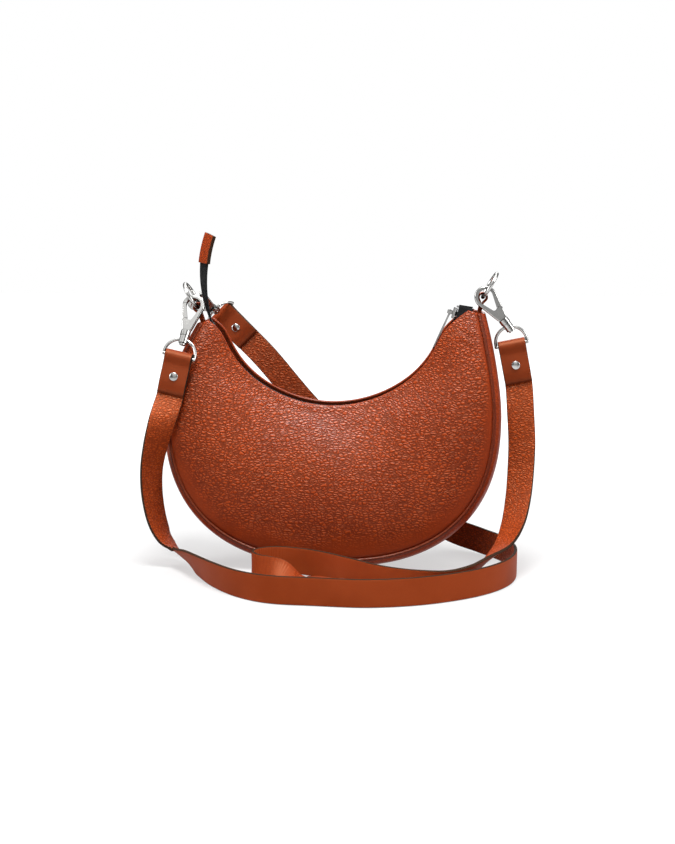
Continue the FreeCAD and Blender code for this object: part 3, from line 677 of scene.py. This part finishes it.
# rounded band: a flat oval profile carried along stations, each with a way across its width and a way
# out of its face; the lower the power, the squarer the oval
def bandRings(places, wide, face, halfWidth, halfThick, power=0.35, size=36):
    turn = (np.arange(size) + 0.5) / size * math.tau
    across = np.sign(np.cos(turn)) * np.abs(np.cos(turn)) ** power
    out = np.sign(np.sin(turn)) * np.abs(np.sin(turn)) ** power
    across = np.roll(across, size // 4)
    out = np.roll(out, size // 4)
    return (places[:, None] + wide[:, None] * (across[None, :, None] * halfWidth)
            + face[:, None] * (out[None, :, None] * halfThick)), across, out


# paint on a band's two edges: 1 at the far points of its profile, 0 on its faces
def rimPaint(across, shape, stationCount):
    paint = np.clip((np.abs(across) - shape["rimStart"]) / shape["rimSpan"], 0, 1)
    return paint[None, :] + np.zeros((stationCount, 1))


def tailFrames(angle):
    t = tailShape
    turned = np.clip((zipShape["left"] - angle) / (t["end"] + zipShape["left"]), 0, 1)
    twist = np.radians(t["twist"]) * turned ** t["twistPower"]
    ray = np.stack([np.sin(np.radians(angle)), angle * 0, -np.cos(np.radians(angle))], axis=-1)
    wide = backWay * np.cos(twist)[:, None] + ray * np.sin(twist)[:, None]
    face = ray * np.cos(twist)[:, None] - backWay * np.sin(twist)[:, None]
    places = np.array([0, 0, bag["notchHeight"]]) + ray * zipShape["radius"]
    return places, wide, face


def makeTail():
    t = tailShape
    angle = -np.linspace(t["start"], t["end"], t["stations"])
    rings, across, out = bandRings(*tailFrames(angle), t["width"] / 2, t["thickness"] / 2)
    uv = uvGrid(np.radians(-angle) * zipShape["radius"], across * t["width"] / 2)
    piece = sweptMesh("zipTail", rings, blackTape, uv=uv)
    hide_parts("zip_tail")
    capTurn = np.degrees(np.linspace(0, t["capLength"], t["capStations"]) / zipShape["radius"])
    rings, across, out = bandRings(*tailFrames(-(t["end"] + capTurn)), t["capWidth"] / 2,
                                   t["capThickness"] / 2, t["capPower"])
    rim = rimPaint(across, t, t["capStations"])
    cap = sweptMesh("zipTailCap", rings, tabLeather,
                    {"rim": rim, "shade": rim * 0, "grain": rim * 0 + t["capGrain"]})
    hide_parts("zip_tail_cap")


makeTail()
print("zip laid")

# straps: each end has a bar, the strap's way from it and its width's way; routes give places, as shares
# of the bag's reach, and edge ways
strapShape = {
    "width": 0.022, "thickness": 0.0026, "flap": 0.032, "pinch": 0.008, "gap": 0.0002,
    "bar": 0.0013, "barGap": 0.0003, "rivetAt": 0.017, "skive": 0.011, "skived": 0.45,
    "flapRows": 12, "easeRows": 6, "foldSteps": 12, "spanSteps": 28, "power": 0.16, "sides": 44,
    "floorGap": 0.0002, "rimStart": 0.955, "rimSpan": 0.03, "endRows": 2, "endPaint": 0.3,
    "endDark": 0.42, "endSpan": 0.038, "calmFrom": 0.022, "calmSpan": 0.014, "calmLoss": 0.85,
    "backGrain": 0.06, "wrinkle": 0.00009, "wrinkleLength": 0.0019,
    "sway": 2.6, "swaysPerMeter": 310.0, "shake": 1.1, "shakesPerMeter": 830.0,
}
bagReach = np.array([0.140, 0.125, 0.212])
endFrames = {
    "frontLeft": ((-0.122304, -0.029489, 0.177618), (-0.22, -0.12, -0.97), (-1, 0, 0)),
    "rearLeft": ((-0.099271, 0.051596, 0.205179), (0.70, 0.0, -0.71), (-0.71, 0, -0.70)),
    "right": ((0.146631, -0.007670, 0.186652), (0.20, -0.03, -0.98), (-1, 0, 0)),
    "free": ((0.010080, -0.086, 0.0044), (-0.91, 0.41, 0), (0, 1, 0)),
}
longRoute = [
    ((-0.420, 0.400, 0.775), (-0.71, 0, -0.71)), ((-0.205, 0.400, 0.606), (-0.71, 0, -0.71)),
    ((0.036, 0.408, 0.435), (-0.69, 0, -0.72)), ((0.286, 0.416, 0.285), (-0.62, 0, -0.78)),
    ((0.514, 0.408, 0.164), (-0.45, 0, -0.89)), ((0.714, 0.352, 0.085), (-0.25, 0, -0.97)),
    ((0.900, 0.224, 0.058), (-0.08, 0, -1)), ((1.029, 0.040, 0.054), (0, 0, -1)),
    ((1.086, -0.190, 0.054), (0, 0, -1)), ((1.060, -0.410, 0.054), (0, 0, -1)),
    ((0.964, -0.600, 0.054), (0, 0, -1)), ((0.793, -0.768, 0.054), (0, 0, -1)),
    ((0.536, -0.912, 0.054), (0, 0, -1)), ((0.250, -0.982, 0.054), (0, 0, -1)),
    ((-0.036, -0.968, 0.054), (0, 0, -1)), ((-0.286, -0.940, 0.054), (0, 0, -1)),
    ((-0.471, -0.836, 0.053), (0, 0.1, -0.99)), ((-0.629, -0.672, 0.0545), (0, 0.25, -0.97)),
    ((-0.757, -0.472, 0.0525), (-0.05, 0.6, -0.8)), ((-0.846, -0.300, 0.048), (-0.12, 0.88, -0.46)),
    ((-0.905, -0.200, 0.052), (-0.19, 0.95, -0.22)), ((-0.954, -0.184, 0.083), (0.05, 0.97, -0.1)),
    ((-1.000, -0.196, 0.128), (0.34, 0.92, -0.1)), ((-1.036, -0.212, 0.202), (0.48, 0.86, 0)),
    ((-1.052, -0.236, 0.300), (0.56, 0.81, 0)), ((-1.043, -0.272, 0.400), (0.64, 0.75, 0)),
    ((-1.008, -0.312, 0.499), (0.78, 0.58, 0)), ((-0.965, -0.316, 0.596), (0.92, 0.35, 0.05)),
]
shortRoute = [
    ((1.107, -0.084, 0.618), (-1, 0, -0.1)), ((1.118, -0.092, 0.502), (-0.98, 0.2, 0)),
    ((1.114, -0.112, 0.386), (-0.93, 0.36, 0)), ((1.100, -0.160, 0.290), (-0.87, 0.5, 0)),
    ((1.068, -0.248, 0.203), (-0.75, 0.65, -0.1)), ((1.011, -0.360, 0.140), (-0.5, 0.85, -0.2)),
    ((0.914, -0.492, 0.101), (-0.15, 0.9, -0.4)), ((0.807, -0.656, 0.074), (0, 0.7, -0.7)),
    ((0.679, -0.770, 0.060), (0, 0.3, -0.95)), ((0.514, -0.776, 0.055), (0, 0, -1)),
    ((0.321, -0.696, 0.054), (0, 0, -1)), ((0.143, -0.548, 0.054), (0, 0, -1)),
    ((-0.036, -0.404, 0.054), (0, 0, -1)), ((-0.200, -0.360, 0.060), (0, 0, -1)),
    ((-0.321, -0.384, 0.066), (0, -0.05, -1)), ((-0.400, -0.432, 0.066), (0, -0.1, -0.99)),
    ((-0.425, -0.480, 0.063), (0, -0.1, -0.99)), ((-0.396, -0.528, 0.059), (0, -0.1, -0.99)),
    ((-0.329, -0.552, 0.055), (0, -0.2, -0.98)), ((-0.264, -0.564, 0.047), (-0.2, -0.6, -0.77)),
    ((-0.200, -0.576, 0.027), (-0.35, -0.85, -0.35)),
]


def endWays(name):
    bar, way, hint = (np.array(row, dtype=float) for row in endFrames[name])
    way = unitRows(way)
    wide = unitRows(hint - way * hint.dot(way))
    return bar, way, wide, np.cross(wide, way)


# a folded end: the flap, a half circle round the bar, and the main layer
def foldedEnd(name):
    s = strapShape
    bar, way, wide, face = endWays(name)
    fold = s["bar"] + s["barGap"] + s["thickness"] / 2
    pinch = (s["thickness"] + s["gap"]) / 2
    turn = np.linspace(0, np.pi, s["foldSteps"] + 1)[:, None]
    arc = bar + face * (fold * np.cos(turn)) - way * (fold * np.sin(turn))
    reach = np.linspace(s["flap"], s["pinch"], s["flapRows"])[:, None]
    thin = s["skived"] + (1 - s["skived"]) * smoothRise(s["flap"] - reach, 0, s["skive"])
    flapPlace = (s["gap"] + s["thickness"] * thin) / 2
    ease = np.linspace(s["pinch"], 0, s["easeRows"])[1:-1, None] / s["pinch"]
    lift = pinch + (fold - pinch) * (1 - ease) ** 2 * (1 + 2 * ease)
    flap = np.concatenate([bar + way * reach + face * flapPlace,
                           bar + way * (ease * s["pinch"]) + face * lift])
    back = np.concatenate([(bar + way * (ease * s["pinch"]) - face * lift)[::-1],
                           (bar + way * reach - face * pinch)[::-1]])
    places = np.concatenate([flap, arc, back])
    thickness = np.ones(len(places))
    thickness[:len(thin)] = thin[:, 0]
    return places, np.repeat(wide[None], len(places), axis=0), thickness


# a smooth line through stations: cubic spans whose slopes come from the neighbours
def smoothSpans(stations, steps):
    before, start, end, after = stations[:-3], stations[1:-2], stations[2:-1], stations[3:]
    share = (np.arange(steps) / steps)[None, :, None]
    startSlope = ((end - before) * 0.5)[:, None]
    endSlope = ((after - start) * 0.5)[:, None]
    square, cube = share ** 2, share ** 3
    spans = (start[:, None] * (2 * cube - 3 * square + 1) + startSlope * (cube - 2 * square + share)
             + end[:, None] * (3 * square - 2 * cube) + endSlope * (cube - square))
    return spans.reshape(-1, stations.shape[-1])


def strapLine(startName, route, finishName):
    startPlaces, startWide, startThin = foldedEnd(startName)
    finishPlaces, finishWide, finishThin = foldedEnd(finishName)
    finishPlaces, finishWide, finishThin = finishPlaces[::-1], -finishWide[::-1], finishThin[::-1]
    places = np.array([row[0] for row in route]) * bagReach
    edges = unitRows(np.array([row[1] for row in route], dtype=float))
    rows = strapShape["flapRows"]
    middlePlaces = np.concatenate([startPlaces[-rows:][[0, -1]], places,
                                   finishPlaces[:rows][[0, -1]]])
    middleEdges = np.concatenate([startWide[[0, -1]], edges, finishWide[[0, -1]]])
    stations = smoothSpans(np.concatenate([middlePlaces, middleEdges], axis=1), strapShape["spanSteps"])
    allPlaces = np.concatenate([startPlaces[:-1], stations[:, :3], finishPlaces])
    allEdges = np.concatenate([startWide[:-1], stations[:, 3:], finishWide])
    allThin = np.concatenate([startThin[:-1], np.ones(len(stations)), finishThin])
    return allPlaces, allEdges, allThin


# strap: a flat band with rounded, painted edges carried along its line, darker towards its folded ends;
# where it is calmed, fine wrinkles take the place of the grain
def makeStrap(name, node, startName, route, finishName, calmed, darkSpans):
    s = strapShape
    places, edges, thin = strapLine(startName, route, finishName)
    way = unitRows(np.gradient(places, axis=0))
    wide = unitRows(edges - way * np.sum(edges * way, axis=1, keepdims=True))
    face = np.cross(wide, way)
    along = np.concatenate([[0], np.cumsum(np.linalg.norm(np.diff(places, axis=0), axis=1))])
    calm = np.zeros(len(places))
    if calmed:
        calm = smoothRise(-places[:, 0], s["calmFrom"], s["calmSpan"])
    sway = s["sway"] * np.sin(along * s["swaysPerMeter"])
    shake = s["shake"] * np.sin(along * s["shakesPerMeter"])
    ripple = np.sin(math.tau * along / s["wrinkleLength"] + sway + shake)
    places = places + face * (s["wrinkle"] * calm * ripple)[:, None]
    rings, across, out = bandRings(places, wide, face, s["width"] / 2,
                                   s["thickness"] / 2 * thin[:, None, None], s["power"], s["sides"])
    rings[..., 2] = np.maximum(rings[..., 2], s["floorGap"])
    rim = rimPaint(across, s, len(places))
    ends = s["endRows"]
    rim[:ends] = np.maximum(rim[:ends], s["endPaint"])
    rim[-ends:] = np.maximum(rim[-ends:], s["endPaint"])
    grain = np.where(out[None, :] > 0, 1 - s["calmLoss"] * calm[:, None], s["backGrain"])
    # the shade attribute darkens the ends; on the long strap's rear end, over its longer reach, it is
    # painted shade
    startDark = 1 - smoothRise(along, s["endSpan"], darkSpans[0])
    finishDark = 1 - smoothRise(along[-1] - along, s["endSpan"], darkSpans[1])
    shade = s["endDark"] * np.maximum(startDark, finishDark)[:, None] + rim * 0
    piece = sweptMesh(name, rings, strapLeather, {"rim": rim, "shade": shade, "grain": grain})
    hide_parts(node)
    print(name, "length", round(float(along[-1]), 3), "m with its folded ends")


# the long strap's rear end is darkened over 24 cm as painted shade, where it hangs behind the bag
makeStrap("longStrap", "long_strap", "rearLeft", longRoute, "frontLeft",
          calmed=False, darkSpans=(0.24, 0.03))
makeStrap("shortStrap", "short_strap", "right", shortRoute, "free",
          calmed=True, darkSpans=(0.03, 0.03))

# rivets: a domed cap on each side of the folded strap, on a post
rivetShape = {"post": 0.0015, "head": 0.0035, "dome": 0.0012, "gap": 0.0001, "sides": 40,
              "edge": 0.0003, "bevel": 0.0001, "bevelShare": 0.94, "bowStart": 0.02, "bowRows": 9}


# the profile runs from one dome's middle over its rim, down the post and out to the other dome's middle
def rivetRings(name):
    r = rivetShape
    bar, way, wide, face = endWays(name)
    half = strapShape["thickness"] + strapShape["gap"] / 2 + r["gap"]
    bow = np.linspace(r["bowStart"], 1, r["bowRows"]) * np.pi / 2
    domeOut = np.sin(bow) * r["head"]
    domeUp = half + r["edge"] + np.cos(bow) * (r["dome"] - r["edge"])
    inset = r["head"] * r["bevelShare"]
    rise = half + r["bevel"]
    out = np.concatenate([domeOut, [r["head"], inset, r["post"]],
                          [r["post"], inset, r["head"]], domeOut[::-1]])
    up = np.concatenate([domeUp, [rise, half, half], [-half, -half, -rise], -domeUp[::-1]])
    turn = np.linspace(0, math.tau, r["sides"], endpoint=False)[None, :, None]
    middle = bar + way * strapShape["rivetAt"] + face * up[:, None]
    return middle[:, None] + out[:, None, None] * (wide * np.cos(turn) + way * np.sin(turn))


def makeRivet(name, endName, node):
    piece = sweptMesh(name, rivetRings(endName), brightNickel)
    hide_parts(node)


makeRivet("rivetRearLeft", "rearLeft", "long_strap_rivets")
makeRivet("rivetFrontLeft", "frontLeft", "long_strap_rivets")
makeRivet("rivetRight", "right", "short_strap_rivets")
makeRivet("rivetFree", "free", "short_strap_rivets")
print("straps hung")

# ring tabs: a strip of leather folded round the ring's wire, both ends held inside the horn tip;
# left and right give the fold's centre, the horn's angle and the reach to the horn
tabShape = {
    "left": ((-0.110783, 0.0, 0.214622), -72.0, 0.012), "right": ((0.122772, 0.0, 0.224172), 78.0, 0.012),
    "width": 0.0070, "leather": 0.0016, "hole": 0.0026, "depth": 0.010, "layerGap": 0.00005, "neck": 1.6,
    "straightRows": 16, "neckRows": 8, "bendRows": 17, "power": 0.22, "sides": 28,
    "paint": 0.3, "rimStart": 0.9, "rimSpan": 0.06, "grain": 0.5,
}


# a tab's line: two straight layers, a neck where they part, and a half circle round the wire
def makeTab(name, node, sideName):
    t = tabShape
    hole, angle, reach = t[sideName]
    sign = -1 if angle < 0 else 1
    along = np.array([sign * math.cos(math.radians(angle)), 0, sign * math.sin(math.radians(angle))])
    lift = np.cross(along, backWay)
    bend = t["hole"] + t["leather"] / 2
    layer = t["leather"] / 2 + t["layerGap"]
    neckLength = bend * t["neck"]
    straight = np.linspace(-reach - t["depth"], -neckLength, t["straightRows"])
    layerUp = straight * 0 + layer
    neck = np.linspace(0, 1, t["neckRows"])[1:-1]
    neckAlong = -neckLength + neckLength * neck
    neckUp = layer + (bend - layer) * neck * neck * (3 - 2 * neck)
    turn = np.linspace(np.pi / 2, -np.pi / 2, t["bendRows"])
    x = np.concatenate([straight, neckAlong, bend * np.cos(turn), neckAlong[::-1], straight[::-1]])
    z = np.concatenate([layerUp, neckUp, bend * np.sin(turn), -neckUp[::-1], -layerUp])
    places = np.array(hole) + along * x[:, None] + lift * z[:, None]
    way = unitRows(np.gradient(places, axis=0))
    wide = np.repeat(backWay[None], len(places), axis=0)
    rings, across, out = bandRings(places, wide, np.cross(wide, way), t["width"] / 2,
                                   t["leather"] / 2, t["power"], t["sides"])
    rim = t["paint"] * rimPaint(across, t, len(places))
    piece = sweptMesh(name, rings, tabLeather,
                      {"rim": rim, "shade": rim * 0, "grain": rim * 0 + t["grain"]})
    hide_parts(node)


makeTab("leftTab", "ring_tab_left", "left")
makeTab("rightTab", "ring_tab_right", "right")

# metal nodes keep their own shape and take the nickel finish
metalStarts = ("ring_left", "ring_right", "swivel_eye", "hook_body", "hook_gate", "gate_pin",
               "zip_slider", "zip_pull", "zip_end_stops")
for nodeName, node in nodes.items():
    if nodeName.startswith(metalStarts) and not nodeName.startswith("ring_tab"):
        node.data.materials.clear()
        node.data.materials.append(brightNickel)
print("metal plated")

# studio: a pale floor that keeps the shadow, a white world with dark diagonals for the metal to mirror,
# and seven soft lamps: key, front, top, back, one at each side, and one that gives gloss alone;
# a lamp's row is its name, place, target, size, power and whether it lights colour
studio = {
    "floorSize": 6.0, "floorColour": (0.34, 0.34, 0.34, 1), "floorRough": 0.9, "white": (1, 1, 1, 1),
    "floorGlow": 0.56, "farGlow": 1.0, "glowStart": 0.28, "glowEnd": 0.75, "mirrorGlow": 0.50,
    "worldLight": 0.07, "sideDark": 0.05, "sideScale": 2.0, "sideStart": 0.30, "sideEnd": 0.80,
    "horizon": 0.40, "highWay": 0.55, "leatherLamps": ("glossLamp", "frontLamp"),
    "lamps": [("keyLamp", (0.05, -0.40, 1.40), (0, 0, 0.10), 0.50, 20.0, True),
              ("frontLamp", (-0.05, -1.05, 1.00), (0, 0, 0.14), 0.40, 4.0, True),
              ("glossLamp", (0.0, -0.90, 1.30), (0, 0, 0.12), 0.36, 80.0, False),
              ("topLamp", (0.0, 0.15, 1.30), (0, 0, 0.10), 1.5, 6.0, True),
              ("backLamp", (0.15, 1.15, 0.85), (0, 0, 0.10), 0.8, 9.0, True),
              ("rightLamp", (1.3, -0.30, 0.65), (0, 0, 0.10), 0.8, 8.0, True),
              ("leftLamp", (-1.3, -0.45, 0.60), (0, 0, 0.10), 0.8, 8.5, True)],
}


def seenRay(tree):
    path = addNode(tree, "ShaderNodeLightPath")
    seen = mathNode(tree, "MAXIMUM", path.outputs["Is Camera Ray"], path.outputs["Is Glossy Ray"])
    return mathNode(tree, "MAXIMUM", seen, path.outputs["Is Transmission Ray"])


def makeFloor():
    half = studio["floorSize"] / 2
    mesh = bpy.data.meshes.new("studioFloor")
    corners = [(-half, -half, 0), (half, -half, 0), (half, half, 0), (-half, half, 0)]
    mesh.from_pydata(corners, [], [(0, 1, 2, 3)])
    floor = bpy.data.objects.new("studioFloor", mesh)
    bpy.context.scene.collection.objects.link(floor)
    material, tree, shader = newMaterial("studio_floor")
    away = addNode(tree, "ShaderNodeVectorMath", {"operation": "LENGTH"}, {0: objectPlace(tree)})
    glow = remap(tree, away.outputs["Value"], studio["glowStart"], studio["glowEnd"],
                 studio["floorGlow"], studio["farGlow"])
    path = addNode(tree, "ShaderNodeLightPath")
    mirrored = mathNode(tree, "MAXIMUM", path.outputs["Is Glossy Ray"], path.outputs["Is Transmission Ray"])
    mirrored = mathNode(tree, "MULTIPLY", mirrored, studio["mirrorGlow"])
    shown = mathNode(tree, "MULTIPLY", path.outputs["Is Camera Ray"], glow)
    setInputs(tree, shader, {
        "Base Color": studio["floorColour"], "Roughness": studio["floorRough"], "Specular IOR Level": 0.0,
        "Emission Color": studio["white"], "Emission Strength": mathNode(tree, "MAXIMUM", mirrored, shown)})
    floor.data.materials.append(material)


def makeWorld():
    world = bpy.data.worlds.new("studioWorld")
    bpy.context.scene.world = world
    world.use_nodes = True
    tree = world.node_tree
    sky = tree.nodes["Background"]
    skyWay = addNode(tree, "ShaderNodeTexCoord").outputs["Generated"]
    way = addNode(tree, "ShaderNodeSeparateXYZ", None, {0: skyWay})
    corner = mathNode(tree, "ABSOLUTE", mathNode(tree, "MULTIPLY", way.outputs[0], way.outputs[1]))
    bright = remap(tree, mathNode(tree, "MULTIPLY", corner, studio["sideScale"]),
                   studio["sideStart"], studio["sideEnd"], 1.0, studio["sideDark"])
    rising = remap(tree, way.outputs[2], 0.0, studio["highWay"], studio["horizon"], 1.0)
    bright = mathNode(tree, "MULTIPLY", bright, rising)
    path = addNode(tree, "ShaderNodeLightPath")
    bright = mathNode(tree, "MAXIMUM", bright, path.outputs["Is Camera Ray"])
    strength = addNode(tree, "ShaderNodeMapRange", None,
                       {0: seenRay(tree), 1: 0.0, 2: 1.0, 3: studio["worldLight"], 4: bright})
    setInputs(tree, sky, {"Color": studio["white"], "Strength": strength.outputs[0]})


def aimAt(thing, place, target):
    thing.location = place
    way = np.array(target, dtype=float) - np.array(place, dtype=float)
    pitch = math.pi / 2 + math.atan2(way[2], math.hypot(way[0], way[1]))
    thing.rotation_euler = (pitch, 0, math.atan2(way[1], way[0]) - math.pi / 2)


def makeLamp(name, place, target, size, power, lightsColour):
    light = bpy.data.lights.new(name, "AREA")
    light.shape = "DISK"
    light.size = size
    light.energy = power
    lamp = bpy.data.objects.new(name, light)
    lamp.visible_diffuse = lightsColour
    bpy.context.scene.collection.objects.link(lamp)
    aimAt(lamp, place, target)


makeFloor()
makeWorld()
for lampRow in studio["lamps"]:
    makeLamp(*lampRow)

# the gloss and front lamps shine on the leather only, so that the nickel isn't washed out
leatherPieces = bpy.data.collections.new("leatherPieces")
leathers = (panelLeather, strapLeather, tabLeather)
for thing in list(bpy.data.objects):
    if thing.type == "MESH" and thing.data.materials and thing.data.materials[0] in leathers:
        leatherPieces.objects.link(thing)
for lampName in studio["leatherLamps"]:
    bpy.data.objects[lampName].light_linking.receiver_collection = leatherPieces

# camera: where the photograph was taken from, in metres and degrees
cameraSet = {"place": (0.070, -1.000, 0.300), "pitch": 10.2, "yaw": 3.75, "lens": 52.04, "sensor": 36.0,
             "near": 0.01}
cameraData = bpy.data.cameras.new("photoCamera")
cameraData.lens = cameraSet["lens"]
cameraData.sensor_width = cameraSet["sensor"]
cameraData.clip_start = cameraSet["near"]
camera = bpy.data.objects.new("photoCamera", cameraData)
camera.location = cameraSet["place"]
camera.rotation_euler = (math.radians(90 - cameraSet["pitch"]), 0, math.radians(cameraSet["yaw"]))
bpy.context.scene.collection.objects.link(camera)
bpy.context.scene.camera = camera
bpy.context.scene.view_settings.view_transform = "Standard"
print("studio lit")
